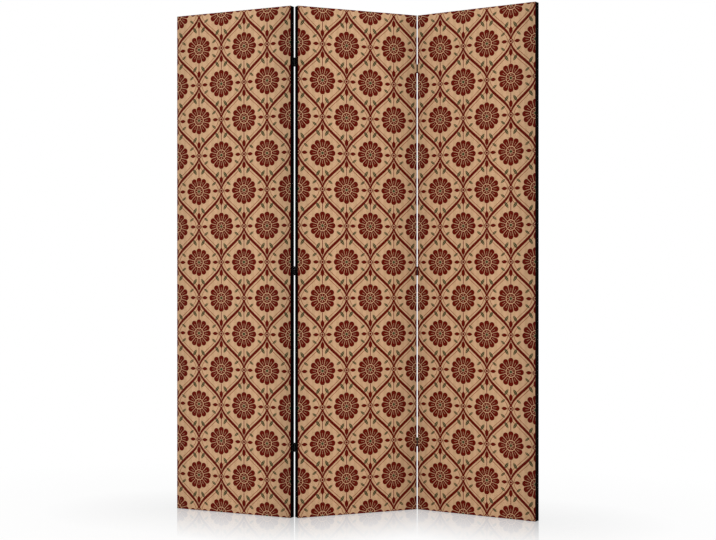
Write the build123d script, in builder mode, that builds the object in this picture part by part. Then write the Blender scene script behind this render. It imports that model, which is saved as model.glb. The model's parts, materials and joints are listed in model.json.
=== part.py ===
from build123d import *
from math import cos, radians, sin
import os

# A three-panel folding screen: canvas stretched over timber frames, joined by two rows of
# butt hinges. Millimetres, +Z up, the floor at Z = 0. The viewer stands on the -Y side.

# Panels, measured over the canvas
panel_width = 450.0
panel_height = 1720.0
frame_depth = 24.5
canvas_thickness = 0.5
canvas_turnover = 25.0
lining_thickness = 0.5
lining_inset = 4.0
timber_edge_radius = 1.0

# How the screen stands: each panel's run in plan, degrees towards the viewer from +X
left_panel_angle = 27.0
middle_panel_angle = -24.0
right_panel_angle = 34.2

# Timber
stile_width = 30.0
end_rail_height = 30.0
cross_rail_height = 30.0
cross_rail_depth = 16.0
cross_rail_spacing = 554.0

# Dowels, two to each joint between a rail and a stile
dowel_radius = 3.0
dowel_length = 30.0
dowel_spacing = 14.0
dowel_end_chamfer = 0.8
dowel_clearance = 0.05
dowel_end_gap = 0.5

# Staples through the lining and the turned canvas
staple_crown_length = 10.0
staple_wire_width = 0.9
staple_wire_thickness = 0.6
staple_leg_length = 8.0
staple_edge_distance = 13.5
staple_pitch = 100.0
staple_end_distance = 40.0
staple_clearance = 0.02

# Hinges
lower_hinge_height = 235.0
middle_hinge_drop = 30.0
upper_hinge_drop = 186.0
hinge_height = 30.0
hinge_sheet = 0.7
hinge_reach = 15.0
leaf_corner_radius = 2.0
pin_radius = 0.8
pin_clearance = 0.05
pin_head_radius = 1.4
pin_head_height = 0.6
pin_head_rounding = 0.35
pin_stand_off = 1.45
knuckle_gap = 0.2
knuckle_relief = 0.25
panel_gap = 1.6

# Hinge screws, two to each leaf
screw_radius = 1.25
screw_length = 12.0
screw_tip_length = 2.5
screw_tip_radius = 0.3
screw_spacing = 18.0
screw_reach = 8.8
screw_clearance = 0.05
screw_end_gap = 0.5
screw_recess_width = 0.6
screw_recess_length = 2.4
screw_recess_depth = 0.4

# Sizes that follow. The middle hinge's drop is from half the panel's height, the upper
# hinge's from the panel's top.
hinge_centres = {
    "lower": lower_hinge_height,
    "middle": panel_height / 2 - middle_hinge_drop,
    "upper": panel_height - upper_hinge_drop,
}
canvas_depth = frame_depth + 2 * canvas_thickness
panel_depth = canvas_depth + lining_thickness
knuckle_radius = pin_radius + pin_clearance + hinge_sheet
knuckle_height = (hinge_height - 2 * knuckle_gap) / 3
knuckle_pitch = knuckle_height + knuckle_gap
leaf_start = knuckle_radius + knuckle_relief
screw_head_radius = screw_radius + hinge_sheet
timber_left = canvas_thickness
timber_right = panel_width - canvas_thickness
left_joint = timber_left + stile_width
right_joint = timber_right - stile_width
timber_back = canvas_thickness + frame_depth
stile_places = {
    "left": (timber_left, left_joint),
    "right": (right_joint, right_joint),
}
rail_centres = {
    "bottom_rail": canvas_thickness + end_rail_height / 2,
    "lower_cross_rail": (panel_height - cross_rail_spacing) / 2,
    "upper_cross_rail": (panel_height + cross_rail_spacing) / 2,
    "top_rail": panel_height - canvas_thickness - end_rail_height / 2,
}
rail_heights = {
    "bottom_rail": end_rail_height,
    "lower_cross_rail": cross_rail_height,
    "upper_cross_rail": cross_rail_height,
    "top_rail": end_rail_height,
}
rail_depths = {
    "bottom_rail": frame_depth,
    "lower_cross_rail": cross_rail_depth,
    "upper_cross_rail": cross_rail_depth,
    "top_rail": frame_depth,
}
up = Vector(0, 0, 1)

os.makedirs("parts", exist_ok=True)


def finish(piece, name):
    """Label a finished piece and write it."""
    piece.part.label = name
    export_step(piece.part, f"parts/{name}.step")


# Where the panels and the two fold axes stand. In a panel's own plane, X runs left to right
# across its front, Y from its front to its back, and Z up, from its front bottom left corner.

back_left_pin = Vector(-panel_gap / 2, panel_depth + pin_stand_off, 0)
back_right_pin = Vector(panel_width + panel_gap / 2, panel_depth + pin_stand_off, 0)
front_left_pin = Vector(-panel_gap / 2, -pin_stand_off, 0)
front_right_pin = Vector(panel_width + panel_gap / 2, -pin_stand_off, 0)


def panel_plane(angle, pin_place, pin_in_panel):
    """The plane of a panel that turns about a pin, at an angle in plan."""
    across = Vector(cos(radians(angle)), -sin(radians(angle)), 0)
    turned = Plane(origin=(0, 0, 0), x_dir=across, z_dir=up)
    corner = pin_place - turned.from_local_coords(pin_in_panel)
    return Plane(origin=corner, x_dir=across, z_dir=up)


def stand_panels(left_fold_place):
    """The three panels' planes, and the right fold's place, from the left fold's place."""
    left = panel_plane(left_panel_angle, left_fold_place, back_right_pin)
    middle = panel_plane(middle_panel_angle, left_fold_place, back_left_pin)
    right_fold_place = middle.from_local_coords(front_right_pin)
    right = panel_plane(right_panel_angle, right_fold_place, front_left_pin)
    return {"left": left, "middle": middle, "right": right}, right_fold_place


def plan_centre(planes):
    """The middle of the box round the panels, seen from above."""
    corners = [
        plane.from_local_coords(Vector(x, y, 0))
        for plane in planes.values()
        for x in (0, panel_width)
        for y in (0, panel_depth)
    ]
    xs = [corner.X for corner in corners]
    ys = [corner.Y for corner in corners]
    return Vector((min(xs) + max(xs)) / 2, (min(ys) + max(ys)) / 2, 0)


trial_planes, _ = stand_panels(Vector(0, 0, 0))
left_fold = Vector(0, 0, 0) - plan_centre(trial_planes)
panels, right_fold = stand_panels(left_fold)


def joint_plane(panel, x):
    """A plane across a panel at x, facing right. Its X is the panel's depth, its Y is up."""
    place = panel.from_local_coords(Vector(x, 0, 0))
    return Plane(origin=place, x_dir=panel.y_dir, z_dir=panel.x_dir)


def face_plane(panel, depth):
    """A plane along a panel at a depth, facing the front. Its X and Z are the panel's."""
    place = panel.from_local_coords(Vector(0, depth, 0))
    return Plane(origin=place, x_dir=panel.x_dir, z_dir=-panel.y_dir)


def spots_on(plane, points):
    """Points given in a plane's own X and Y, turned to face as the plane does."""
    return [plane.location * Location((x, y, 0)) for x, y in points]


def dowel_spots(panel, rail_names, joints):
    """The dowels' middles, on the faces where the rails meet the stiles."""
    spots = []
    for x in joints:
        for name in rail_names:
            depth = timber_back - rail_depths[name] / 2
            heights = [rail_centres[name] + side * dowel_spacing / 2 for side in (-1, 1)]
            spots += spots_on(joint_plane(panel, x), [(depth, height) for height in heights])
    return spots


def even_steps(first, last, pitch):
    """Places from first to last, evenly spaced at about the pitch."""
    gaps = max(1, round((last - first) / pitch))
    return [first + (last - first) * step / gaps for step in range(gaps + 1)]


# Staples stand upright on both stiles and lie level on both end rails.
staple_heights = even_steps(staple_end_distance, panel_height - staple_end_distance, staple_pitch)
staple_widths = even_steps(staple_end_distance, panel_width - staple_end_distance, staple_pitch)
upright_staples = {
    "left": [(staple_edge_distance, height) for height in staple_heights],
    "right": [(panel_width - staple_edge_distance, height) for height in staple_heights],
}
level_staples = {
    "bottom_rail": [(x, staple_edge_distance) for x in staple_widths],
    "top_rail": [(x, panel_height - staple_edge_distance) for x in staple_widths],
}
all_upright_staples = sum(upright_staples.values(), [])
all_level_staples = sum(level_staples.values(), [])
leg_offset = (staple_crown_length - staple_wire_width) / 2


def staple_legs(panel, upright, level, clearance):
    """The section of the legs of some staples, on the back of the lining."""
    size = staple_wire_width + 2 * clearance
    places = []
    for side in (-1, 1):
        places += [(x, height + side * leg_offset) for x, height in upright]
        places += [(x + side * leg_offset, height) for x, height in level]
    with BuildSketch(face_plane(panel, panel_depth)) as legs:
        with Locations(*places):
            Rectangle(size, size)
    return legs.sketch


def hinge_place(panel, pin_in_panel, height):
    """The middle of a hinge pin, for a hinge on one of a panel's corners."""
    return panel.from_local_coords(pin_in_panel) + up * height


def leaf_plane(panel, pin_in_panel, height):
    """A leaf's plane on its pin: X from the panel towards the other leaf, Y along the leaf."""
    outward = panel.x_dir if pin_in_panel.X > 0 else -panel.x_dir
    inward = panel.y_dir if pin_in_panel.Y < 0 else -panel.y_dir
    place = hinge_place(panel, pin_in_panel, height)
    return Plane(origin=place, x_dir=outward, z_dir=outward.cross(inward))


def plate_plane(leaf, x):
    """A plane on a leaf, facing the other leaf. Its X is along the leaf, its Y along the pin."""
    place = leaf.from_local_coords(Vector(x, 0, 0))
    return Plane(origin=place, x_dir=leaf.y_dir, z_dir=leaf.x_dir)


def leaf_screw_spots(leaf):
    """The screws' heads on one leaf, facing out of it."""
    face = plate_plane(leaf, hinge_sheet - panel_gap / 2)
    return spots_on(face, [(screw_reach, side * screw_spacing / 2) for side in (-1, 1)])


def side_screw_spots(panel, pin_in_panel):
    """The screws' heads of all the leaves along one side of a panel."""
    leaves = [leaf_plane(panel, pin_in_panel, height) for height in hinge_centres.values()]
    return sum([leaf_screw_spots(leaf) for leaf in leaves], [])


def drill_screw_holes(spots):
    """Pilot holes, from the leaf's face, in the piece being built."""
    with Locations(*spots):
        Hole(screw_radius + screw_clearance, screw_length + screw_end_gap)


def drill_dowel_holes(spots):
    """Dowel holes, half in a rail and half in a stile, in the piece being built."""
    with Locations(*spots):
        Cylinder(
            dowel_radius + dowel_clearance,
            dowel_length + 2 * dowel_end_gap,
            mode=Mode.SUBTRACT,
        )


def punch_staple_holes(panel, upright, level):
    """The slots of some staples' legs, in the piece being built."""
    legs = staple_legs(panel, upright, level, staple_clearance)
    extrude(legs, amount=staple_leg_length + staple_clearance, mode=Mode.SUBTRACT)


def timber_outline(panel):
    """The whole frame's outer form, with eased edges, which the canvas wraps."""
    with BuildPart() as outline:
        with BuildSketch(panel.offset(canvas_thickness)):
            with Locations((timber_left, canvas_thickness)):
                width = timber_right - timber_left
                Rectangle(width, frame_depth, align=(Align.MIN, Align.MIN))
        extrude(amount=panel_height - 2 * canvas_thickness)
        fillet(outline.edges(), timber_edge_radius)
    return outline.part


timber_outlines = {name: timber_outline(panel) for name, panel in panels.items()}


# One stile: full height, with the rails' dowel holes and the hinges' pilot holes
def make_stile(name, panel, outline, side, screws):
    start, joint = stile_places[side]
    with BuildPart() as stile:
        with BuildSketch(panel.offset(canvas_thickness)):
            with Locations((start, canvas_thickness)):
                Rectangle(stile_width, frame_depth, align=(Align.MIN, Align.MIN))
        extrude(amount=panel_height - 2 * canvas_thickness)
        add(outline, mode=Mode.INTERSECT)
        drill_dowel_holes(dowel_spots(panel, rail_centres, [joint]))
        if screws:
            drill_screw_holes(screws)
        punch_staple_holes(panel, upright_staples[side], [])
    finish(stile, name)


# One rail between the stiles, flush with the back of the frame
def make_rail(name, panel, outline, rail):
    bottom = rail_centres[rail] - rail_heights[rail] / 2
    with BuildPart() as bar:
        with BuildSketch(panel.offset(bottom)):
            with Locations((left_joint, timber_back)):
                width = right_joint - left_joint
                Rectangle(width, rail_depths[rail], align=(Align.MIN, Align.MAX))
        extrude(amount=rail_heights[rail])
        add(outline, mode=Mode.INTERSECT)
        drill_dowel_holes(dowel_spots(panel, [rail], [left_joint, right_joint]))
        if rail in level_staples:
            punch_staple_holes(panel, [], level_staples[rail])
    finish(bar, name)


# The dowels of one frame
def make_dowels(name, panel):
    with BuildPart() as dowels:
        with Locations(*dowel_spots(panel, rail_centres, [left_joint, right_joint])):
            Cylinder(dowel_radius, dowel_length)
        chamfer(dowels.edges().filter_by(GeomType.CIRCLE), dowel_end_chamfer)
    finish(dowels, name)


# The canvas: over the front and all four sides, and turned onto the back of the frame
def make_canvas(name, panel, outline, screws):
    with BuildPart() as canvas:
        with BuildSketch(panel):
            Rectangle(panel_width, canvas_depth, align=(Align.MIN, Align.MIN))
        extrude(amount=panel_height)
        fillet(canvas.edges(), timber_edge_radius + canvas_thickness)
        add(outline, mode=Mode.SUBTRACT)
        with BuildSketch(face_plane(panel, canvas_depth)):
            with Locations((panel_width / 2, panel_height / 2)):
                Rectangle(panel_width - 2 * canvas_turnover, panel_height - 2 * canvas_turnover)
        extrude(amount=canvas_thickness, mode=Mode.SUBTRACT)
        drill_screw_holes(screws)
        punch_staple_holes(panel, all_upright_staples, all_level_staples)
    finish(canvas, name)


# The lining: one flat cloth that closes the back
def make_lining(name, panel):
    with BuildPart() as lining:
        with BuildSketch(face_plane(panel, panel_depth)):
            with Locations((panel_width / 2, panel_height / 2)):
                Rectangle(panel_width - 2 * lining_inset, panel_height - 2 * lining_inset)
        extrude(amount=lining_thickness)
        punch_staple_holes(panel, all_upright_staples, all_level_staples)
    finish(lining, name)


# One staple, its crown lying along X just below Z = 0 and its legs pointing up
with BuildPart() as staple:
    with BuildSketch():
        Rectangle(staple_crown_length, staple_wire_width)
    extrude(amount=-staple_wire_thickness)
    with BuildSketch():
        with Locations((-leg_offset, 0), (leg_offset, 0)):
            Rectangle(staple_wire_width, staple_wire_width)
    extrude(amount=staple_leg_length)


# The staples that hold the lining and the turned canvas
def make_staples(name, panel):
    back = face_plane(panel, panel_depth)
    quarter_turn = Location((0, 0, 0), (0, 0, 90))
    upright = [spot * quarter_turn for spot in spots_on(back, all_upright_staples)]
    with BuildPart() as staples:
        with Locations(*upright, *spots_on(back, all_level_staples)):
            add(staple.part)
    finish(staples, name)


# One countersunk screw, its head's face at the origin and its tip below
with BuildPart() as screw:
    with BuildSketch(Plane.XZ):
        with BuildLine():
            Polyline(
                (0, 0),
                (screw_head_radius, 0),
                (screw_radius, -hinge_sheet),
                (screw_radius, screw_tip_length - screw_length),
                (screw_tip_radius, -screw_length),
                (0, -screw_length),
                close=True,
            )
        make_face()
    revolve(axis=Axis.Z)
    with BuildSketch():
        Rectangle(screw_recess_length, screw_recess_width)
        Rectangle(screw_recess_width, screw_recess_length)
    extrude(amount=-screw_recess_depth, mode=Mode.SUBTRACT)


def make_screws(name, spots):
    with BuildPart() as screws:
        with Locations(*spots):
            add(screw.part)
    finish(screws, name)


# One hinge leaf: a plate on the panel's side, and its knuckles round the pin
def make_leaf(name, leaf, knuckles):
    plate = plate_plane(leaf, -panel_gap / 2)
    with BuildPart() as hinge_leaf:
        with BuildSketch(plate):
            with Locations((leaf_start, 0)):
                width = hinge_reach - leaf_start
                Rectangle(width, hinge_height, align=(Align.MIN, Align.CENTER))
            fillet(vertices().sort_by(Axis.X)[-2:], leaf_corner_radius)
            with Locations(*[(0, step * knuckle_pitch) for step in knuckles]):
                Rectangle(leaf_start, knuckle_height, align=(Align.MIN, Align.CENTER))
        extrude(amount=hinge_sheet)
        for step in knuckles:
            with BuildSketch(leaf.offset(step * knuckle_pitch)):
                Circle(knuckle_radius)
            extrude(amount=knuckle_height / 2, both=True)
        with BuildSketch(leaf):
            Circle(pin_radius + pin_clearance)
        extrude(amount=hinge_height, both=True, mode=Mode.SUBTRACT)
        with Locations(*leaf_screw_spots(leaf)):
            CounterSinkHole(
                screw_radius + screw_clearance,
                screw_head_radius + screw_clearance,
                depth=hinge_sheet,
                counter_sink_angle=90,
            )
    finish(hinge_leaf, name)


# One hinge pin, with a domed head at each end
def make_pin(name, place):
    with BuildPart() as pin:
        with BuildSketch(Plane(origin=place, z_dir=up)):
            Circle(pin_radius)
        extrude(amount=hinge_height / 2, both=True)
        for side in (-1, 1):
            end = Plane(origin=place + up * side * hinge_height / 2, z_dir=up * side)
            with BuildSketch(end):
                Circle(pin_head_radius)
            extrude(amount=pin_head_height)
        rims = pin.edges().filter_by(GeomType.CIRCLE).group_by(Axis.Z)
        fillet(rims[0] + rims[-1], pin_head_rounding)
    finish(pin, name)


# The three panels
panel_screws = {
    "left": {"right": side_screw_spots(panels["left"], back_right_pin)},
    "middle": {
        "left": side_screw_spots(panels["middle"], back_left_pin),
        "right": side_screw_spots(panels["middle"], front_right_pin),
    },
    "right": {"left": side_screw_spots(panels["right"], front_left_pin)},
}
for panel_name, panel in panels.items():
    outline = timber_outlines[panel_name]
    side_screws = panel_screws[panel_name]
    for side in stile_places:
        stile_name = f"{panel_name}_panel_{side}_stile"
        make_stile(stile_name, panel, outline, side, side_screws.get(side))
    for rail in rail_centres:
        make_rail(f"{panel_name}_panel_{rail}", panel, outline, rail)
    make_dowels(f"{panel_name}_panel_dowels", panel)
    make_canvas(f"{panel_name}_panel_canvas", panel, outline, sum(side_screws.values(), []))
    make_lining(f"{panel_name}_panel_lining", panel)
    make_staples(f"{panel_name}_panel_staples", panel)
    for side, spots in side_screws.items():
        make_screws(f"{panel_name}_panel_{side}_hinge_screws", spots)

# The hinges of the two folds. The middle panel holds the two outer knuckles and the pin.
folds = {
    "left": (panels["left"], back_right_pin, back_left_pin),
    "right": (panels["right"], front_left_pin, front_right_pin),
}
for fold, (swinging_panel, swinging_pin, fixed_pin) in folds.items():
    for level, height in hinge_centres.items():
        hinge = f"{fold}_fold_{level}_hinge"
        fixed_leaf = leaf_plane(panels["middle"], fixed_pin, height)
        swing_leaf = leaf_plane(swinging_panel, swinging_pin, height)
        make_leaf(f"{hinge}_fixed_leaf", fixed_leaf, (-1, 1))
        make_leaf(f"{hinge}_swing_leaf", swing_leaf, (0,))
        make_pin(f"{hinge}_pin", hinge_place(panels["middle"], fixed_pin, height))

rounded = [round(value, 3) for value in (left_fold.X, left_fold.Y, right_fold.X, right_fold.Y)]
print("fold axes, X and Y of the left and of the right:", rounded)
for panel_name, panel in panels.items():
    base = panel.from_local_coords(Vector(panel_width / 2, canvas_depth / 2, 0))
    print(panel_name, "panel, middle of its foot:", round(base.X, 3), round(base.Y, 3))
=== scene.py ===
import json
import math

import bpy
from mathutils import Matrix, Vector, noise


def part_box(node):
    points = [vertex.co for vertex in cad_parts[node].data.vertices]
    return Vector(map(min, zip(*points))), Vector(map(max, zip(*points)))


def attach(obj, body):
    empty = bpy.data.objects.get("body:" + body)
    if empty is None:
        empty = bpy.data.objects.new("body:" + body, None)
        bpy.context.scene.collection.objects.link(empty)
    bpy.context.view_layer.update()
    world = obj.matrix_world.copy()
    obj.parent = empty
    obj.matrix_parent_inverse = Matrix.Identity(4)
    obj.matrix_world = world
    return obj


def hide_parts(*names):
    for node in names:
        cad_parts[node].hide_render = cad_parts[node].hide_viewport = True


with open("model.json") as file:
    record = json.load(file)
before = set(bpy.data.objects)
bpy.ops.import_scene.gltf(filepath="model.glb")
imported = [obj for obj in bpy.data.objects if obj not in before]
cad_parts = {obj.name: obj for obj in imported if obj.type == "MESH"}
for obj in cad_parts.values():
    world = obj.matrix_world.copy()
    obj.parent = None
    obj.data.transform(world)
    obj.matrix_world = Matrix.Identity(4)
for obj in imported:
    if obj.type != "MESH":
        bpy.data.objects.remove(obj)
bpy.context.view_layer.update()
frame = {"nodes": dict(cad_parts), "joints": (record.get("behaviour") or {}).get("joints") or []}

bodies = {"left": "left_panel", "middle": "middle_panel", "right": "right_panel"}

# How the three panels stand. Metres, and degrees in plan towards the viewer.
screen = {
    "angles": {"left": 27.0, "middle": -24.0, "right": 34.2},
    "width": 0.450,
    "height": 1.720,
    "depth": 0.026,
    "foldGap": 0.0016,
    "pinStandOff": 0.00145,
}


def paint(red, green, blue):
    # a colour as a paint chart gives it, 0 to 255, turned into Blender's own scale
    shares = [part / 255 for part in (red, green, blue)]
    return tuple(s / 12.92 if s <= 0.04045 else ((s + 0.055) / 1.055) ** 2.4 for s in shares) + (1.0,)


def easedStep(low, high, value):
    share = min(1.0, max(0.0, (value - low) / (high - low)))
    return share * share * (3 - 2 * share)


def panelFrames():
    # each panel's own frame: X along its front, Y from front to back, Z up
    pins = {joint["name"]: Vector(joint["pos_m"]) for joint in frame["joints"]}
    halfGap, standOff = screen["foldGap"] / 2, screen["pinStandOff"]
    behind, before = screen["depth"] + standOff, -standOff
    pinInPanel = {
        "left": ("left_fold", Vector((screen["width"] + halfGap, behind, 0))),
        "middle": ("left_fold", Vector((-halfGap, behind, 0))),
        "right": ("right_fold", Vector((-halfGap, before, 0))),
    }
    frames = {}
    for side, (fold, pin) in pinInPanel.items():
        turn = Matrix.Rotation(-math.radians(screen["angles"][side]), 4, "Z")
        frames[side] = Matrix.Translation(pins[fold] - turn @ pin) @ turn
    return frames


panelPlaces = panelFrames()
print("panels found:", {side: [round(n, 4) for n in place.translation] for side, place in panelPlaces.items()})


# Camera and light

camera = {
    "place": (-0.1135, -4.8876, 0.8107),
    "lens": 72.06,
    "shift": (0.0531, 0.0091),
}
light = {
    "skyStrength": 0.85,
    "keyPlace": (0.2, -5.6, 1.4),
    "keyAim": (0.0, 0.0, 0.85),
    "keySize": (3.2, 2.4),
    "keyPower": 103.0,
}


def makeCamera():
    data = bpy.data.cameras.new("camera")
    data.lens, data.sensor_width = camera["lens"], 36.0
    data.shift_x, data.shift_y = camera["shift"]
    data.clip_end = 60.0
    taken = bpy.data.objects.new("camera", data)
    taken.location = camera["place"]
    taken.rotation_euler = (math.radians(90), 0, 0)
    bpy.context.scene.collection.objects.link(taken)
    bpy.context.scene.camera = taken


def makeKeyLight():
    data = bpy.data.lights.new("keyLight", "AREA")
    data.shape, data.size, data.size_y = "RECTANGLE", *light["keySize"]
    data.energy = light["keyPower"]
    lamp = bpy.data.objects.new("keyLight", data)
    lamp.location = light["keyPlace"]
    lamp.rotation_euler = (Vector(light["keyAim"]) - lamp.location).to_track_quat("-Z", "Y").to_euler()
    lamp.visible_glossy = False  # so that the polished floor doesn't mirror it
    bpy.context.scene.collection.objects.link(lamp)


# Small helpers for node trees

def addNode(tree, kind, **settings):
    made = tree.nodes.new(kind)
    for name, value in settings.items():
        setattr(made, name, value)
    return made


def feed(tree, socket, value):
    # a link where value comes from a node, a plain setting otherwise
    if isinstance(value, bpy.types.NodeSocket):
        tree.links.new(value, socket)
    elif value is not None:
        socket.default_value = value


def calc(tree, operation, *values, clamp=False):
    made = addNode(tree, "ShaderNodeMath", operation=operation, use_clamp=clamp)
    for socket, value in zip(made.inputs, values):
        feed(tree, socket, value)
    return made.outputs[0]


def within(tree, distance, soft=0.5):
    # 1 where the distance is below zero and 0 above it, with an edge that wide
    return calc(tree, "MULTIPLY_ADD", distance, -1.0 / soft, 0.5, clamp=True)


def mixColours(tree, share, first, second, blend="MIX"):
    made = addNode(tree, "ShaderNodeMix", data_type="RGBA", blend_type=blend)
    feed(tree, made.inputs["Factor"], share)
    feed(tree, made.inputs["A"], first)
    feed(tree, made.inputs["B"], second)
    return made.outputs["Result"]


def mapShare(tree, value, low, high, newLow=0.0, newHigh=1.0, smooth=False):
    made = addNode(tree, "ShaderNodeMapRange", interpolation_type="SMOOTHSTEP" if smooth else "LINEAR")
    names = ("Value", "From Min", "From Max", "To Min", "To Max")
    for name, setting in zip(names, (value, low, high, newLow, newHigh)):
        feed(tree, made.inputs[name], setting)
    return made.outputs["Result"]


def splitUp(tree, vector):
    # the X, Y and Z outputs of a vector
    made = addNode(tree, "ShaderNodeSeparateXYZ")
    feed(tree, made.inputs[0], vector)
    return made.outputs


def scaledBy(tree, colour, scale):
    made = addNode(tree, "ShaderNodeVectorMath", operation="SCALE")
    feed(tree, made.inputs[0], colour)
    feed(tree, made.inputs["Scale"], scale)
    return made.outputs[0]


def seenOrMirrored(tree):
    # 1 for what the camera sees, straight or mirrored, and 0 for light that only bounces about
    path = addNode(tree, "ShaderNodeLightPath").outputs
    mirrored = calc(tree, "MAXIMUM", path["Is Glossy Ray"], path["Is Transmission Ray"])
    return calc(tree, "MAXIMUM", path["Is Camera Ray"], mirrored)


def stretched(tree, position, scale, turn=(0, 0, 0)):
    made = addNode(tree, "ShaderNodeMapping", vector_type="TEXTURE")
    made.inputs["Scale"].default_value = [1 / s for s in scale]
    made.inputs["Rotation"].default_value = turn
    feed(tree, made.inputs["Vector"], position)
    return made.outputs["Vector"]


def cloudy(tree, position, scale, detail=2.0, roughness=0.5):
    made = addNode(tree, "ShaderNodeTexNoise")
    feed(tree, made.inputs["Vector"], position)
    feed(tree, made.inputs["Scale"], scale)
    made.inputs["Detail"].default_value = detail
    made.inputs["Roughness"].default_value = roughness
    return made.outputs["Fac"]


def startGroup(name, inputs, outputs):
    tree = bpy.data.node_groups.new(name, "ShaderNodeTree")
    for socketName, kind, value in inputs:
        made = tree.interface.new_socket(socketName, in_out="INPUT", socket_type=kind)
        if value is not None:
            made.default_value = value
    for socketName, kind in outputs:
        tree.interface.new_socket(socketName, in_out="OUTPUT", socket_type=kind)
    return tree, addNode(tree, "NodeGroupInput").outputs, addNode(tree, "NodeGroupOutput").inputs


def placeGroup(tree, group, **values):
    made = addNode(tree, "ShaderNodeGroup", node_tree=group)
    for name, value in values.items():
        feed(tree, made.inputs[name], value)
    return made.outputs


def startMaterial(name):
    material = bpy.data.materials.new(name)
    material.use_nodes = True
    tree = material.node_tree
    tree.nodes.clear()
    surface = addNode(tree, "ShaderNodeBsdfPrincipled")
    tree.links.new(surface.outputs[0], addNode(tree, "ShaderNodeOutputMaterial").inputs["Surface"])
    position = addNode(tree, "ShaderNodeTexCoord").outputs["Object"]
    return material, tree, surface.inputs, position


def bumpFrom(tree, surface, height, distance, strength=1.0):
    made = addNode(tree, "ShaderNodeBump")
    made.inputs["Distance"].default_value = distance
    made.inputs["Strength"].default_value = strength
    feed(tree, made.inputs["Height"], height)
    feed(tree, surface["Normal"], made.outputs["Normal"])


# Effects that the materials share

# The print's sizes, in millimetres. A half width is measured to one side of a line's middle.
trellis = {
    "width": 180.0,
    "height": 1720 / 7,
    "line": {"thinnest": 2.1, "swelling": 2.7},
    "fineLine": {"away": 11.5, "halfWidth": 0.9, "end": 90.0},
    "petals": {"count": 12, "reach": 48.0, "notch": 44.0, "roundness": 2.4, "gap": 0.8, "start": 18.5},
    "petalVein": {"halfWidth": 0.45, "start": 24.0, "end": 36.0},
    "heart": {"reach": 16.0, "eye": 6.0, "eyeHalfWidth": 0.9, "centre": 5.1},
    "dots": {"count": 8, "away": 11.0, "reach": 1.7},
    "stem": {"halfWidth": 1.3, "start": 49.0, "end": 104.0},
    "bud": {"away": 86.0, "halfWidth": 7.0, "halfLength": 14.0},
    "sideBud": {"away": 66.0, "halfWidth": 6.0, "halfLength": 11.0},
    "leaves": [
        {"middle": (16.5, 68.0), "angle": 56.0, "halfWidth": 5.0, "halfLength": 13.5},
        {"middle": (61.0, 25.0), "angle": 36.0, "halfWidth": 3.8, "halfLength": 11.0},
    ],
    "leafVein": 0.35,
    "bead": {"reach": 9.5, "ring": 5.2, "ringHalfWidth": 0.9},
    "stripes": {"count": 8.0, "soft": 0.06},
}


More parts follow.
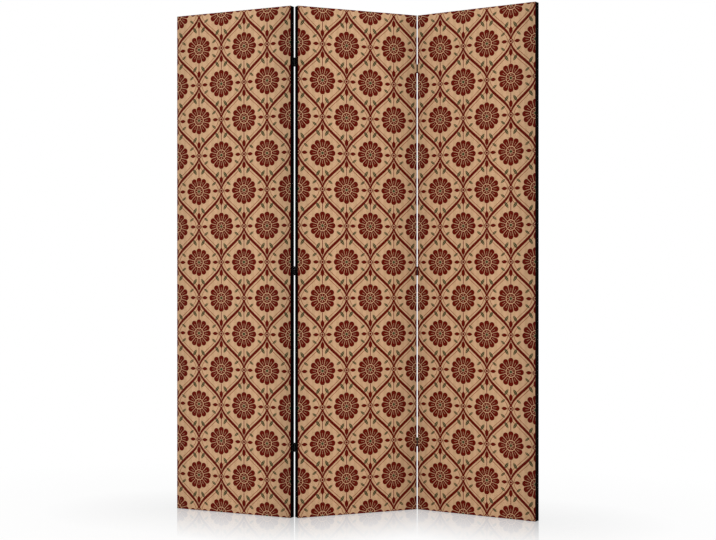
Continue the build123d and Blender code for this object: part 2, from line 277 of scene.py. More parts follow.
def makeTrellisPrint():
    # A plain ogee trellis of tapering lines, with a round-petalled rosette in each opening.
    # It is drawn in a quarter of one opening, and mirrored from there.
    tree, given, result = startGroup(
        "trellisPrint",
        [
            ("position", "NodeSocketVector", None),
            ("ground", "NodeSocketColor", (0.5, 0.4, 0.3, 1)),
            ("stripe", "NodeSocketColor", (0.4, 0.3, 0.2, 1)),
            ("darkInk", "NodeSocketColor", (0.1, 0.01, 0.0, 1)),
            ("midInk", "NodeSocketColor", (0.2, 0.1, 0.05, 1)),
            ("leafInk", "NodeSocketColor", (0.04, 0.04, 0.01, 1)),
        ],
        [("colour", "NodeSocketColor"), ("ink", "NodeSocketFloat")],
    )

    def do(operation, *values):
        return calc(tree, operation, *values)

    def length(first, second):
        return do("SQRT", do("MULTIPLY_ADD", first, first, do("MULTIPLY", second, second)))

    def lens(across, along, halfWidth, halfLength):
        # a leaf shape, pointed at both ends
        reach = do("DIVIDE", along, halfLength)
        edge = do("MULTIPLY_ADD", do("MULTIPLY", reach, reach), halfWidth, -halfWidth)
        return within(tree, do("ADD", do("ABSOLUTE", across), edge))

    def leaf(middle, angle, halfWidth, halfLength):
        run, rise = math.cos(math.radians(angle)), math.sin(math.radians(angle))
        overX, overY = do("SUBTRACT", x, middle[0]), do("SUBTRACT", y, middle[1])
        along = do("MULTIPLY_ADD", overX, run, do("MULTIPLY", overY, rise))
        across = do("MULTIPLY_ADD", overX, -rise, do("MULTIPLY", overY, run))
        vein = within(tree, do("SUBTRACT", do("ABSOLUTE", across), trellis["leafVein"]))
        return do("MULTIPLY", lens(across, along, halfWidth, halfLength), do("SUBTRACT", 1.0, vein))

    def join(*masks):
        whole = masks[0]
        for mask in masks[1:]:
            whole = do("MAXIMUM", whole, mask)
        return whole

    def overlap(*masks):
        whole = masks[0]
        for mask in masks[1:]:
            whole = do("MULTIPLY", whole, mask)
        return whole

    def between(value, start, end):
        return overlap(within(tree, do("SUBTRACT", start, value)), within(tree, do("SUBTRACT", value, end)))

    def band(value, middle, halfWidth):
        return within(tree, do("SUBTRACT", do("ABSOLUTE", do("SUBTRACT", value, middle)), halfWidth))

    def fromNearest(count):
        # 0 on the middle of the nearest of so many rays, and 0.5 halfway to the next
        return do("ABSOLUTE", do("SUBTRACT", do("FRACT", do("MULTIPLY_ADD", heading, count / (2 * math.pi), 0.5)), 0.5))

    width, height = trellis["width"], trellis["height"]
    place = splitUp(tree, given["position"])
    sheetX, sheetZ = (do("MULTIPLY", place[axis], 1000.0) for axis in "XZ")
    column = do("ABSOLUTE", do("SUBTRACT", do("FRACT", do("DIVIDE", sheetX, width)), 0.5))
    row = do("ABSOLUTE", do("SUBTRACT", do("FRACT", do("DIVIDE", sheetZ, height)), 0.5))

    # the trellis line swings over half a cell, and what lies past it belongs to the next opening
    turn = do("MULTIPLY", row, 2 * math.pi)
    swing = do("MULTIPLY_ADD", do("COSINE", turn), 0.25, 0.25)
    slant = do("SINE", turn)
    past = do("SUBTRACT", column, swing)
    steep = do("MULTIPLY", slant, 0.5 * math.pi / height)
    spread = do("SQRT", do("MULTIPLY_ADD", steep, steep, 1 / width ** 2))
    fromLine = do("ABSOLUTE", do("DIVIDE", past, spread))
    nextOne = do("GREATER_THAN", past, 0.0)
    x = do("MULTIPLY", do("MULTIPLY_ADD", nextOne, do("MULTIPLY_ADD", column, -2.0, 0.5), column), width)
    y = do("MULTIPLY", do("MULTIPLY_ADD", nextOne, do("MULTIPLY_ADD", row, -2.0, 0.5), row), height)

    taper = do("MULTIPLY_ADD", slant, trellis["line"]["swelling"], trellis["line"]["thinnest"])
    line = within(tree, do("SUBTRACT", fromLine, taper))
    fine = trellis["fineLine"]
    fineLine = overlap(band(fromLine, fine["away"], fine["halfWidth"]), within(tree, do("SUBTRACT", y, fine["end"])))

    # rosette
    fromMiddle = length(x, y)
    heading = do("ARCTAN2", y, x)
    look = trellis["petals"]
    petalTurn = 2 * math.pi / look["count"]
    petal = fromNearest(look["count"])
    tip = do("MULTIPLY_ADD", do("POWER", petal, look["roundness"]), -look["notch"], look["reach"])
    toGap = do("MULTIPLY", do("MULTIPLY", do("SUBTRACT", 0.5, petal), petalTurn), fromMiddle)
    petals = overlap(between(fromMiddle, look["start"], tip), within(tree, do("SUBTRACT", look["gap"], toGap)))
    look = trellis["petalVein"]
    fromRay = do("MULTIPLY", do("MULTIPLY", petal, petalTurn), fromMiddle)
    vein = overlap(
        within(tree, do("SUBTRACT", fromRay, look["halfWidth"])),
        between(fromMiddle, look["start"], look["end"]),
    )
    look = trellis["dots"]
    aside = do("MULTIPLY", fromNearest(look["count"]), 2 * math.pi / look["count"] * look["away"])
    dots = within(tree, do("SUBTRACT", length(do("SUBTRACT", fromMiddle, look["away"]), aside), look["reach"]))
    look = trellis["heart"]
    eye = band(fromMiddle, look["eye"], look["eyeHalfWidth"])
    heart = overlap(within(tree, do("SUBTRACT", fromMiddle, look["reach"])), do("SUBTRACT", 1.0, join(dots, eye)))
    centre = within(tree, do("SUBTRACT", fromMiddle, look["centre"]))

    # stem, buds and leaves above and below, and a bud to each side
    look = trellis["stem"]
    stem = overlap(within(tree, do("SUBTRACT", x, look["halfWidth"])), between(y, look["start"], look["end"]))
    look = trellis["bud"]
    bud = lens(x, do("SUBTRACT", y, look["away"]), look["halfWidth"], look["halfLength"])
    look = trellis["sideBud"]
    sideBud = lens(y, do("SUBTRACT", x, look["away"]), look["halfWidth"], look["halfLength"])
    leaves = join(*(leaf(**each) for each in trellis["leaves"]))

    # a bead where the lines meet
    above, beside = length(x, do("SUBTRACT", y, height / 2)), length(do("SUBTRACT", x, width / 2), y)
    toBead = do("MINIMUM", above, beside)
    look = trellis["bead"]
    beadRing = band(toBead, look["ring"], look["ringHalfWidth"])
    bead = within(tree, do("SUBTRACT", toBead, look["reach"]))

    flower = do("MULTIPLY", petals, do("SUBTRACT", 1.0, vein))
    lines = overlap(join(line, bead), do("SUBTRACT", 1.0, beadRing))
    dark = join(flower, heart, stem, bud, sideBud, lines)
    olive = overlap(join(leaves, centre), do("SUBTRACT", 1.0, line))

    # the ground has broad faint stripes
    look = trellis["stripes"]
    stripeShare = do("FRACT", do("MULTIPLY", sheetX, look["count"] / width))
    fromStripe = do("SUBTRACT", do("ABSOLUTE", do("SUBTRACT", stripeShare, 0.5)), 0.25)
    colour = mixColours(tree, within(tree, fromStripe, look["soft"]), given["ground"], given["stripe"])
    colour = mixColours(tree, fineLine, colour, given["midInk"])
    colour = mixColours(tree, dark, colour, given["darkInk"])
    colour = mixColours(tree, olive, colour, given["leafInk"])
    feed(tree, result["colour"], colour)
    feed(tree, result["ink"], join(dark, olive, fineLine))
    return tree


def makePlainWeave():
    # over and under threads, with an uneven thread here and there
    tree, given, result = startGroup(
        "plainWeave",
        [
            ("position", "NodeSocketVector", None),
            ("threadPitch", "NodeSocketFloat", 0.6),
            ("unevenness", "NodeSocketFloat", 0.3),
        ],
        [("height", "NodeSocketFloat"), ("slub", "NodeSocketFloat")],
    )
    drift = addNode(tree, "ShaderNodeTexNoise")
    feed(tree, drift.inputs["Vector"], given["position"])
    drift.inputs["Scale"].default_value = 40.0
    swayed = addNode(tree, "ShaderNodeVectorMath", operation="MULTIPLY_ADD")
    feed(tree, swayed.inputs[0], drift.outputs["Color"])
    swayed.inputs[1].default_value = (0.0012, 0.0, 0.0012)
    feed(tree, swayed.inputs[2], given["position"])
    place = splitUp(tree, swayed.outputs[0])
    toThreads = calc(tree, "DIVIDE", 1000.0, given["threadPitch"])
    across = calc(tree, "MULTIPLY", calc(tree, "ADD", place["X"], place["Y"]), toThreads)
    upward = calc(tree, "MULTIPLY", place["Z"], toThreads)

    def threads(along, over):
        rounded = calc(tree, "ABSOLUTE", calc(tree, "COSINE", calc(tree, "MULTIPLY", over, math.pi)))
        rowNumber = calc(tree, "FLOOR", calc(tree, "ADD", over, 0.5))
        turn = calc(tree, "MULTIPLY_ADD", rowNumber, math.pi, calc(tree, "MULTIPLY", along, math.pi))
        return calc(tree, "MULTIPLY", rounded, calc(tree, "MULTIPLY_ADD", calc(tree, "SINE", turn), 0.5, 0.5))

    weft = threads(across, upward)
    warp = threads(calc(tree, "ADD", upward, 1.0), calc(tree, "ADD", across, 0.5))
    slubX = cloudy(tree, stretched(tree, given["position"], (18, 18, 420)), 1.0)
    slubZ = cloudy(tree, stretched(tree, given["position"], (420, 420, 18)), 1.0)
    both = calc(tree, "SUBTRACT", calc(tree, "ADD", slubX, slubZ), 1.0)
    slub = calc(tree, "MULTIPLY_ADD", both, given["unevenness"], 0.5)
    raised = calc(tree, "MULTIPLY_ADD", calc(tree, "MAXIMUM", weft, warp), 0.7, calc(tree, "MULTIPLY", slub, 0.6))
    feed(tree, result["height"], raised)
    feed(tree, result["slub"], slub)
    return tree


def makeTimberGrain():
    # growth rings seen along the length, with fine pores; the grain runs along the given Z
    tree, given, result = startGroup(
        "timberGrain",
        [
            ("position", "NodeSocketVector", None),
            ("ringsPerMetre", "NodeSocketFloat", 300.0),
            ("waviness", "NodeSocketFloat", 1.0),
        ],
        [("rings", "NodeSocketFloat"), ("pores", "NodeSocketFloat"), ("height", "NodeSocketFloat")],
    )
    bend = cloudy(tree, stretched(tree, given["position"], (9, 9, 1.1)), 1.0, 3.0)
    place = splitUp(tree, given["position"])
    outward = calc(tree, "ADD", place["X"], calc(tree, "MULTIPLY", place["Y"], 0.45))
    swayed = calc(tree, "MULTIPLY_ADD", calc(tree, "MULTIPLY", bend, given["waviness"]), 0.05, outward)
    turned = calc(tree, "MULTIPLY", swayed, given["ringsPerMetre"])
    share = calc(tree, "FRACT", turned)
    rings = calc(tree, "POWER", share, 2.2)
    softened = calc(tree, "MULTIPLY", rings, mapShare(tree, share, 0.9, 1.0, 1.0, 0.0))
    streaks = cloudy(tree, stretched(tree, given["position"], (2600, 2600, 70)), 1.0, 3.0, 0.6)
    pores = mapShare(tree, streaks, 0.52, 0.68)
    feed(tree, result["rings"], softened)
    feed(tree, result["pores"], pores)
    feed(tree, result["height"], calc(tree, "MULTIPLY_ADD", pores, -0.6, calc(tree, "MULTIPLY", softened, 0.4)))
    return tree


def makeHandledMetal():
    # rubbed patches and fine scratches on small metal pieces
    tree, given, result = startGroup(
        "handledMetal",
        [
            ("position", "NodeSocketVector", None),
            ("patchSize", "NodeSocketFloat", 0.004),
            ("wear", "NodeSocketFloat", 0.3),
        ],
        [("rubbed", "NodeSocketFloat"), ("cloud", "NodeSocketFloat"), ("height", "NodeSocketFloat")],
    )
    scale = calc(tree, "DIVIDE", 1.0, given["patchSize"])
    cloud = cloudy(tree, given["position"], scale, 4.0, 0.55)
    scratches = cloudy(tree, stretched(tree, given["position"], (5200, 5200, 240), (0.4, 0.2, 0.3)), 1.0, 2.0)
    limit = calc(tree, "MULTIPLY_ADD", given["wear"], -0.4, 0.72)
    handling = calc(tree, "MULTIPLY_ADD", scratches, 0.25, calc(tree, "MULTIPLY", cloud, 0.75))
    rubbed = mapShare(tree, handling, limit, calc(tree, "ADD", limit, 0.06))
    feed(tree, result["rubbed"], rubbed)
    feed(tree, result["cloud"], cloud)
    feed(tree, result["height"], calc(tree, "MULTIPLY_ADD", scratches, 0.5, calc(tree, "MULTIPLY", cloud, 0.5)))
    return tree


def makeSettledDust():
    # a little dust on what faces up, and hardly any elsewhere
    tree, given, result = startGroup(
        "settledDust",
        [("position", "NodeSocketVector", None), ("amount", "NodeSocketFloat", 0.3)],
        [("dust", "NodeSocketFloat")],
    )
    facing = splitUp(tree, addNode(tree, "ShaderNodeNewGeometry").outputs["Normal"])
    upward = mapShare(tree, facing["Z"], 0.3, 0.95, 0.01, 1.0)
    specks = mapShare(tree, cloudy(tree, given["position"], 900.0, 3.0, 0.7), 0.45, 0.75, 0.3, 1.0)
    feed(tree, result["dust"], calc(tree, "MULTIPLY", calc(tree, "MULTIPLY", upward, specks), given["amount"]))
    return tree


trellisPrint = makeTrellisPrint()
plainWeave = makePlainWeave()
timberGrain = makeTimberGrain()
handledMetal = makeHandledMetal()
settledDust = makeSettledDust()
print("shared effects made:", len(bpy.data.node_groups))


# Materials

canvasLook = {
    "ground": paint(197, 158, 123),
    "stripe": paint(189, 152, 116),
    "darkInk": paint(90, 12, 0),
    "midInk": paint(124, 62, 34),
    "leafInk": paint(60, 60, 32),
    "edgeBlack": paint(3, 2, 2),
    "dust": paint(150, 142, 130),
    "edgeWorn": paint(9, 8, 8),
    "threadPitch": 0.55,
    "bump": (0.00018, 0.7),
    "specular": {"print": 0.09, "edge": 0.015},
    # painted shade at each panel's sides: how far in it reaches, and its darkest share
    "leftPaintedShade": {"reach": 0.2, "darkest": 0.88},
    "rightPaintedShade": {"reach": 0.26, "darkest": 0.76},
}
liningLook = {
    "cloth": paint(11, 11, 12),
    "pressed": paint(24, 24, 25),
    "fibre": paint(36, 36, 37),
    "embossPitch": 0.0016,
    "specular": 0.4,
}
timberLook = {
    "pine": {
        "pale": paint(226, 196, 148), "ring": paint(186, 139, 88),
        "ringsPerMetre": 330.0, "roughness": 0.62,
    },
    "beech": {
        "pale": paint(214, 178, 138), "ring": paint(178, 132, 94),
        "ringsPerMetre": 900.0, "roughness": 0.5,
    },
}
metalLook = {
    "hingeBlack": {
        "colour": paint(12, 12, 13), "worn": paint(70, 68, 66),
        "patchSize": 0.006, "wear": 0.28, "metal": (0.0, 0.9), "roughness": (0.36, 0.5),
    },
    "screwSteel": {
        "colour": paint(38, 38, 40), "worn": paint(120, 118, 116),
        "patchSize": 0.002, "wear": 0.42, "metal": (0.9, 1.0), "roughness": (0.42, 0.3),
    },
    "stapleWire": {
        "colour": paint(196, 198, 202), "worn": paint(150, 150, 150),
        "patchSize": 0.003, "wear": 0.5, "metal": (1.0, 1.0), "roughness": (0.3, 0.5),
    },
}


def weaveOnto(tree, surface, position, colour, shade):
    # the cloth's own thread, slubs and dust, over whatever colour it is dyed or printed
    weave = placeGroup(tree, plainWeave, position=position, threadPitch=canvasLook["threadPitch"], unevenness=0.5)
    dust = placeGroup(tree, settledDust, position=position, amount=0.12)["dust"]
    tone = mapShare(tree, weave["slub"], 0.2, 0.8, 1 - shade, 1 + shade)
    feed(tree, surface["Base Color"], mixColours(tree, dust, scaledBy(tree, colour, tone), canvasLook["dust"]))
    bumpFrom(tree, surface, weave["height"], *canvasLook["bump"])


def makePrintedCanvas():
    material, tree, surface, position = startMaterial("printedCanvas")
    pattern = placeGroup(
        tree, trellisPrint, position=position,
        **{name: canvasLook[name] for name in ("ground", "stripe", "darkInk", "midInk", "leafInk")},
    )
    blotches = mapShare(tree, cloudy(tree, position, 14.0, 3.0), 0.3, 0.7, 0.965, 1.03)

    # painted shade: the cloth's colour is made a little darker towards both sides of each panel
    across = calc(tree, "FRACT", calc(tree, "DIVIDE", splitUp(tree, position)["X"], screen["width"]))
    left, right = canvasLook["leftPaintedShade"], canvasLook["rightPaintedShade"]
    paintedShadeFromLeft = mapShare(tree, across, 0.0, left["reach"], left["darkest"], 1.0, smooth=True)
    paintedShadeToRight = mapShare(tree, across, 1.0 - right["reach"], 1.0, 1.0, right["darkest"], smooth=True)
    # the ink's blotches, times the painted shade at the panel's sides
    shade = calc(tree, "MULTIPLY", blotches, calc(tree, "MULTIPLY", paintedShadeFromLeft, paintedShadeToRight))
    weaveOnto(tree, surface, position, scaledBy(tree, pattern["colour"], shade), 0.08)
    feed(tree, surface["Roughness"], mapShare(tree, pattern["ink"], 0.0, 1.0, 0.92, 0.84))
    surface["Specular IOR Level"].default_value = canvasLook["specular"]["print"]
    return material


def makeEdgeCanvas():
    # the same cloth, printed black where it goes round the frame
    material, tree, surface, position = startMaterial("edgeCanvas")
    worn = mapShare(tree, cloudy(tree, position, 120.0, 4.0, 0.6), 0.55, 0.8)
    colour = mixColours(tree, worn, canvasLook["edgeBlack"], canvasLook["edgeWorn"])
    weaveOnto(tree, surface, position, colour, 0.2)
    feed(tree, surface["Roughness"], mapShare(tree, worn, 0.0, 1.0, 0.84, 0.92))
    surface["Specular IOR Level"].default_value = canvasLook["specular"]["edge"]
    return material


def makeBackingCloth():
    # black non-woven cloth: pressed with rows of small points, with loose fibres between them
    material, tree, surface, position = startMaterial("backingCloth")
    place = splitUp(tree, position)
    turns = math.pi / liningLook["embossPitch"]
    slopes = (calc(tree, operation, place["X"], place["Z"]) for operation in ("ADD", "SUBTRACT"))
    waves = [calc(tree, "ABSOLUTE", calc(tree, "SINE", calc(tree, "MULTIPLY", slope, turns))) for slope in slopes]
    points = mapShare(tree, calc(tree, "MULTIPLY", *waves), 0.45, 0.75)
    fibres = cloudy(tree, stretched(tree, position, (900, 900, 160), (0.0, 0.5, 0.0)), 1.0, 4.0, 0.65)
    blotches = cloudy(tree, position, 22.0, 3.0)
    dust = placeGroup(tree, settledDust, position=position, amount=0.5)["dust"]
    colour = mixColours(tree, points, liningLook["cloth"], liningLook["pressed"])
    colour = mixColours(tree, mapShare(tree, fibres, 0.48, 0.72), colour, liningLook["fibre"])
    colour = mixColours(tree, mapShare(tree, blotches, 0.35, 0.7, 0.0, 0.6), colour, liningLook["fibre"])
    feed(tree, surface["Base Color"], mixColours(tree, dust, colour, canvasLook["dust"]))
    feed(tree, surface["Roughness"], mapShare(tree, points, 0.0, 1.0, 0.66, 0.45))
    bumpFrom(tree, surface, calc(tree, "MULTIPLY_ADD", points, -0.8, fibres), 0.0002, 0.6)
    surface["Specular IOR Level"].default_value = liningLook["specular"]
    return material


def makeTimber(name, kind, angle, level):
    # the grain runs up a stile, and along a rail or dowel that lies level in its panel
    material, tree, surface, position = startMaterial(name)
    look = timberLook[kind]
    turned = addNode(tree, "ShaderNodeMapping", vector_type="TEXTURE")
    turned.inputs["Rotation"].default_value = (0, 0, -math.radians(angle))
    feed(tree, turned.inputs["Vector"], position)
    along = turned.outputs["Vector"]
    if level:
        parts = splitUp(tree, along)
        swapped = addNode(tree, "ShaderNodeCombineXYZ")
        for given, wanted in zip("ZYX", "XYZ"):
            feed(tree, swapped.inputs[wanted], parts[given])
        along = swapped.outputs[0]
    grain = placeGroup(tree, timberGrain, position=along, ringsPerMetre=look["ringsPerMetre"], waviness=1.0)
    dust = placeGroup(tree, settledDust, position=position, amount=0.25)["dust"]
    colour = mixColours(tree, calc(tree, "MULTIPLY", grain["rings"], 0.8), look["pale"], look["ring"])
    colour = mixColours(tree, calc(tree, "MULTIPLY", grain["pores"], 0.35), colour, look["ring"])
    colour = mixColours(tree, mapShare(tree, cloudy(tree, position, 6.0), 0.35, 0.7, 0.0, 0.25), colour, look["ring"])
    feed(tree, surface["Base Color"], mixColours(tree, dust, colour, canvasLook["dust"]))
    roughness = mapShare(tree, grain["rings"], 0.0, 1.0, look["roughness"], look["roughness"] - 0.12)
    feed(tree, surface["Roughness"], roughness)
    bumpFrom(tree, surface, grain["height"], 0.0001, 0.6)
    return material


def makeMetal(name):
    material, tree, surface, position = startMaterial(name)
    look = metalLook[name]
    sizes = {name: look[name] for name in ("patchSize", "wear")}
    handled = placeGroup(tree, handledMetal, position=position, **sizes)
    dust = placeGroup(tree, settledDust, position=position, amount=0.3)["dust"]
    colour = mixColours(tree, handled["rubbed"], look["colour"], look["worn"])
    feed(tree, surface["Base Color"], mixColours(tree, dust, colour, canvasLook["dust"]))
    feed(tree, surface["Metallic"], mapShare(tree, handled["rubbed"], 0.0, 1.0, *look["metal"]))
    feed(tree, surface["Roughness"], mapShare(tree, handled["cloud"], 0.3, 0.7, *look["roughness"]))
    bumpFrom(tree, surface, handled["height"], 0.00003, 0.5)
    return material


printedCanvas, edgeCanvas, backingCloth = makePrintedCanvas(), makeEdgeCanvas(), makeBackingCloth()
hingeBlack, screwSteel, stapleWire = (makeMetal(name) for name in ("hingeBlack", "screwSteel", "stapleWire"))
print("cloth and metal materials made")


# Canvases: one sheet over the front, round the four sides and onto the back

canvas = {
    "depth": 0.0255,
    "turnover": 0.025,
    "thickness": 0.0005,
    "rounding": 0.0008,
    "cornerLift": 0.00035,
    "swell": 0.0003,
    "flat": (0.551, 1.821),
    "steps": (0.02, 0.0011, 0.024),  # the mesh's widest steps along, through and up
    "arcSteps": 3,
    "foldWidth": 0.0006,
}


def crowded(length, marks, step):
    # places along a length: close together at both ends, even in the middle
    start = [mark for mark in marks if mark < length / 2]
    middle = length - 2 * start[-1]
    count = max(1, round(middle / step))
    inner = [start[-1] + middle * n / count for n in range(1, count)]
    return start + inner + [length - mark for mark in reversed(start)]


def settleModifiers(piece):
    bpy.context.view_layer.update()
    settled = bpy.data.meshes.new_from_object(piece.evaluated_get(bpy.context.evaluated_depsgraph_get()))
    loose = piece.data
    piece.modifiers.clear()
    piece.data = settled
    bpy.data.meshes.remove(loose)


def makePiece(name, points, faces, place, materials, slots):
    mesh = bpy.data.meshes.new(name)
    mesh.from_pydata(points, [], faces)
    for material in materials:
        mesh.materials.append(material)
    mesh.polygons.foreach_set("material_index", slots)
    mesh.polygons.foreach_set("use_smooth", [True] * len(faces))
    mesh.update()
    piece = bpy.data.objects.new(name, mesh)
    bpy.context.scene.collection.objects.link(piece)
    piece.matrix_world = place
    return piece


def wrapCanvas(side):
    width, height, depth = screen["width"], screen["height"], canvas["depth"]
    rounding, turnover = canvas["rounding"], canvas["turnover"]
    stepX, stepY, stepZ = canvas["steps"]
    arc = [rounding * n / canvas["arcSteps"] for n in range(canvas["arcSteps"] + 1)]
    xs = crowded(width, arc + [rounding + (turnover - rounding) * n / 14 for n in range(1, 15)], stepX)
    zs = crowded(height, arc + [0.006, 0.0135, turnover], stepZ)
    ys = crowded(depth, arc, stepY)
    seed = Vector((screen["angles"][side], 3.7, 1.9))
    printed = Vector((width * list(bodies).index(side), 0, 0))  # the print runs on across the folds
    points, seen, faces, slots = [], {}, [], []

    def shaped(i, j, k):
        spot = Vector((xs[i], ys[j], zs[k]))
        inner = Vector(min(max(part, rounding), whole - rounding) for part, whole in zip(spot, (width, depth, height)))
        spot = inner + (spot - inner).normalized() * rounding
        if j == 0:  # the front is taut, and stands a hair proud between its edges
            reach = min(xs[i], width - xs[i], zs[k], height - zs[k])
            ripple = noise.noise(Vector((xs[i] * 5, zs[k] * 3, 0)) + seed)
            spot.y -= canvas["swell"] * easedStep(0.002, 0.06, reach) * (0.6 + 0.4 * ripple)
        if k == len(zs) - 1:  # a folded corner lies two layers thick on the top edge
            fromEnd = min(xs[i], width - xs[i])
            fold = easedStep(-canvas["foldWidth"], canvas["foldWidth"], ys[j] - fromEnd)
            fold *= easedStep(0, 0.003, ys[j]) * easedStep(0, 0.003, depth - ys[j])
            spot.z += canvas["cornerLift"] * fold
        return spot

    def corner(i, j, k):
        if (i, j, k) not in seen:
            seen[i, j, k] = len(points)
            points.append(shaped(i, j, k) + printed)
        return seen[i, j, k]

    def addFace(slot, *corners):
        faces.append([corner(*place) for place in corners])
        slots.append(slot)

    tiny = 1e-6
    lastX, lastY, lastZ = len(xs) - 1, len(ys) - 1, len(zs) - 1
    for i in range(lastX):
        for k in range(lastZ):
            addFace(0, (i, 0, k), (i + 1, 0, k), (i + 1, 0, k + 1), (i, 0, k + 1))
            openAcross = turnover - tiny < xs[i] and xs[i + 1] < width - turnover + tiny
            openUp = turnover - tiny < zs[k] and zs[k + 1] < height - turnover + tiny
            if not (openAcross and openUp):  # the back is open inside the turned cloth
                addFace(1, (i, lastY, k), (i, lastY, k + 1), (i + 1, lastY, k + 1), (i + 1, lastY, k))
    for j in range(lastY):
        for k in range(lastZ):
            addFace(1, (0, j, k), (0, j, k + 1), (0, j + 1, k + 1), (0, j + 1, k))
            addFace(1, (lastX, j, k), (lastX, j + 1, k), (lastX, j + 1, k + 1), (lastX, j, k + 1))
        for i in range(lastX):
            addFace(1, (i, j, 0), (i, j + 1, 0), (i + 1, j + 1, 0), (i + 1, j, 0))
            addFace(1, (i, j, lastZ), (i + 1, j, lastZ), (i + 1, j + 1, lastZ), (i, j + 1, lastZ))

    place = panelPlaces[side] @ Matrix.Translation(-printed)
    piece = makePiece(side + "Canvas", points, faces, place, [printedCanvas, edgeCanvas], slots)
    thick = piece.modifiers.new("thickness", "SOLIDIFY")
    thick.thickness, thick.offset = canvas["thickness"], -1
    settleModifiers(piece)
    return piece


for side, body in bodies.items():
    piece = wrapCanvas(side)
    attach(piece, body)
    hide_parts(body + "_canvas")
    print("canvas wrapped:", piece.name, len(piece.data.polygons), "faces")


# Linings: black cloth stapled over the turned canvas on each back

lining = {
    "inset": 0.004,
    "thickness": 0.0004,
    "stapleEdge": 0.0135,
    "stapleEnd": 0.040,
    "staplePitch": 0.100,
    "hem": 0.018,
    "hemRise": 0.00035,
    "puff": 0.0005,
    "slack": 0.0024,
    "flat": (0.478, 1.748),
    "steps": (0.012, 0.008),  # the mesh's widest steps along and up
    "pullReach": 0.012,
    "pucker": 0.0005,
    "railReach": 0.045,
}


def evenPlaces(length):
    first, last = lining["stapleEnd"], length - lining["stapleEnd"]
    gaps = round((last - first) / lining["staplePitch"])
    return [first + (last - first) * n / gaps for n in range(gaps + 1)]


def hangLining(side):
    width, height, depth = screen["width"], screen["height"], screen["depth"]
    inset, edge = lining["inset"], lining["stapleEdge"]
    hemEdge = inset + lining["hem"]
    fold = (hemEdge - 0.0004, hemEdge + 0.0006)
    marks = [inset, 0.0046, 0.007, 0.010, edge, 0.017, 0.0195, fold[0], hemEdge, fold[1], 0.0250, 0.0305]
    stepX, stepZ = lining["steps"]
    xs = [x + inset for x in crowded(width - 2 * inset, [mark - inset for mark in marks], stepX)]
    zs = [z + inset for z in crowded(height - 2 * inset, [mark - inset for mark in marks], stepZ)]
    staples = [(x, z) for x in (edge, width - edge) for z in evenPlaces(height)]
    staples += [(x, z) for x in evenPlaces(width) for z in (edge, height - edge)]
    rails = [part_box(f"{bodies[side]}_{part}_cross_rail") for part in ("lower", "upper")]
    seed = Vector((2.3, screen["angles"][side], 5.1))

    def shaped(x, z):
        fromEdge = min(x, width - x, z, height - z)
        toStaple = min(math.hypot(x - sx, z - sz) for sx, sz in staples) if fromEdge < 0.06 else 0.05
        pull = 1 - math.exp(-((toStaple / lining["pullReach"]) ** 2))
        bulge = 0.65 + 0.35 * noise.noise(Vector((x * 30, z * 30, 0)) + seed)
        puff = lining["puff"] * pull * (1 - easedStep(0.02, 0.05, fromEdge)) * bulge
        crease = noise.noise(Vector((x * 90, z * 90, 1)) + seed)
        pucker = lining["pucker"] * pull * math.exp(-toStaple / 0.04) * crease
        doubled = lining["hemRise"] * (1 - easedStep(*fold, fromEdge)) * easedStep(inset - 0.0006, 0.0046, fromEdge)
        doubled *= 0.45 + 0.55 * pull
        free = easedStep(0.031, 0.07, fromEdge)
        for low, high in rails:
            free *= easedStep(0.0, lining["railReach"], max(low.z - z, z - high.z))
        wave = noise.noise(Vector((x * 7, z * 2.6, 2)) + seed) - 0.35
        rise = max(0.0, puff + pucker) + doubled + lining["slack"] * free * wave
        return Vector((x, depth + rise, z))

    points = [shaped(x, z) for z in zs for x in xs]
    across = len(xs)
    faces = [
        (k * across + i, (k + 1) * across + i, (k + 1) * across + i + 1, k * across + i + 1)
        for k in range(len(zs) - 1) for i in range(across - 1)
    ]
    piece = makePiece(side + "Lining", points, faces, panelPlaces[side], [backingCloth], [0] * len(faces))
    thick = piece.modifiers.new("thickness", "SOLIDIFY")
    thick.thickness, thick.offset = lining["thickness"], -1
    settleModifiers(piece)
    return piece


for side, body in bodies.items():
    piece = hangLining(side)
    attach(piece, body)
    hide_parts(body + "_lining")
    print("lining stapled on:", piece.name, len(piece.data.polygons), "faces")


# Finishes of the timber and the metal

def finishNodes(ending, material):
    count = 0
    for name, node in frame["nodes"].items():
        if name.endswith(ending):
            node.data.materials.clear()
            node.data.materials.append(material)
            count += 1
    return count


for side, body in bodies.items():
    angle = screen["angles"][side]
    pineUp = makeTimber(side + "PineUpright", "pine", angle, False)
    pineLevel = makeTimber(side + "PineLevel", "pine", angle, True)
    beech = makeTimber(side + "BeechDowel", "beech", angle, True)
    finishNodes(body + "_left_stile", pineUp)
    finishNodes(body + "_right_stile", pineUp)
    for part in ("bottom_rail", "top_rail", "lower_cross_rail", "upper_cross_rail"):
        finishNodes(f"{body}_{part}", pineLevel)
    finishNodes(body + "_dowels", beech)
for ending in ("_leaf", "_pin"):
    print("hinge pieces lacquered:", finishNodes(ending, hingeBlack))
print("screws blackened:", finishNodes("_screws", screwSteel), "staples:", finishNodes("_staples", stapleWire))


# Floor and room

floor = {
    "size": 14.0,
    "colour": paint(242, 242, 242),
    "reflection": 0.46,
    "fadeReach": 0.47,
    "brightShare": (0.86, 1.0),
    "brightReach": 1.3,
    "paler": paint(246, 246, 246),
    "polish": 0.012,
    "below": 0.0002,
}


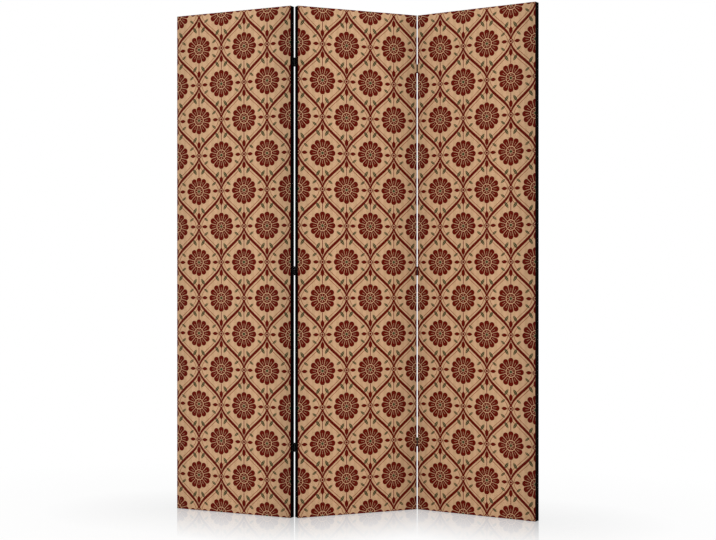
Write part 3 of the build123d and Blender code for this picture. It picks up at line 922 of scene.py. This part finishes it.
def makeFloor():
    material = bpy.data.materials.new("glossyFloor")
    material.use_nodes = True
    tree = material.node_tree
    tree.nodes.clear()
    position = addNode(tree, "ShaderNodeTexCoord").outputs["Object"]
    place = splitUp(tree, position)

    # how far a spot is from the feet of the three panels
    nearest = None
    for side, stand in panelPlaces.items():
        foot, run = stand.translation, stand.to_3x3() @ Vector((1, 0, 0))
        overX, overY = (calc(tree, "SUBTRACT", place[n], foot[n]) for n in (0, 1))
        along = calc(tree, "MULTIPLY_ADD", overX, run.x, calc(tree, "MULTIPLY", overY, run.y))
        across = calc(tree, "MULTIPLY_ADD", overX, -run.y, calc(tree, "MULTIPLY", overY, run.x))
        before, after = calc(tree, "MULTIPLY", along, -1.0), calc(tree, "SUBTRACT", along, screen["width"])
        beyond = calc(tree, "MAXIMUM", before, after)
        outside = calc(tree, "MAXIMUM", beyond, 0.0)
        squares = calc(tree, "MULTIPLY_ADD", outside, outside, calc(tree, "MULTIPLY", across, across))
        away = calc(tree, "SQRT", squares)
        nearest = away if nearest is None else calc(tree, "MINIMUM", nearest, away)
    sheen = mapShare(tree, nearest, 0.0, floor["fadeReach"], floor["reflection"], 0.0)
    cloud = cloudy(tree, position, 3.0)

    matt = addNode(tree, "ShaderNodeBsdfDiffuse")
    feed(tree, matt.inputs["Color"], mixColours(tree, cloud, floor["colour"], floor["paler"]))
    bright = addNode(tree, "ShaderNodeEmission")
    lifted = addNode(tree, "ShaderNodeMixShader")
    whiter = mapShare(tree, nearest, 0.0, floor["brightReach"], *floor["brightShare"])
    feed(tree, lifted.inputs[0], calc(tree, "MULTIPLY", seenOrMirrored(tree), whiter))
    feed(tree, lifted.inputs[1], matt.outputs[0])
    feed(tree, lifted.inputs[2], bright.outputs[0])
    gloss = addNode(tree, "ShaderNodeBsdfGlossy")
    gloss.inputs["Roughness"].default_value = floor["polish"]
    whole = addNode(tree, "ShaderNodeMixShader")
    feed(tree, whole.inputs[0], sheen)
    feed(tree, whole.inputs[1], lifted.outputs[0])
    feed(tree, whole.inputs[2], gloss.outputs[0])
    tree.links.new(whole.outputs[0], addNode(tree, "ShaderNodeOutputMaterial").inputs["Surface"])

    reach = floor["size"]
    mesh = bpy.data.meshes.new("floor")
    corners = [(x * reach, y * reach, -floor["below"]) for x, y in ((-1, -1), (1, -1), (1, 1), (-1, 1))]
    mesh.from_pydata(corners, [], [(0, 1, 2, 3)])
    mesh.materials.append(material)
    ground = bpy.data.objects.new("floor", mesh)
    bpy.context.scene.collection.objects.link(ground)


def makeSky():
    world = bpy.data.worlds.new("studio")
    bpy.context.scene.world = world
    world.use_nodes = True
    tree = world.node_tree
    tree.nodes.clear()
    sky = addNode(tree, "ShaderNodeBackground")
    sky.inputs["Color"].default_value = (1, 1, 1, 1)
    feed(tree, sky.inputs["Strength"], mapShare(tree, seenOrMirrored(tree), 0.0, 1.0, light["skyStrength"], 1.0))
    tree.links.new(sky.outputs[0], addNode(tree, "ShaderNodeOutputWorld").inputs["Surface"])


def arrangeNodes():
    # lays each tree out in columns, so that it can be read when it is opened
    trees = [material.node_tree for material in bpy.data.materials if material.use_nodes]
    for tree in trees + list(bpy.data.node_groups):
        for place, node in enumerate(tree.nodes):
            node.location = (place // 8 * 190, -(place % 8) * 170)


makeCamera()
makeKeyLight()
makeSky()
makeFloor()
arrangeNodes()
bpy.context.scene.view_settings.view_transform = "Standard"
print("camera, lights and floor set")
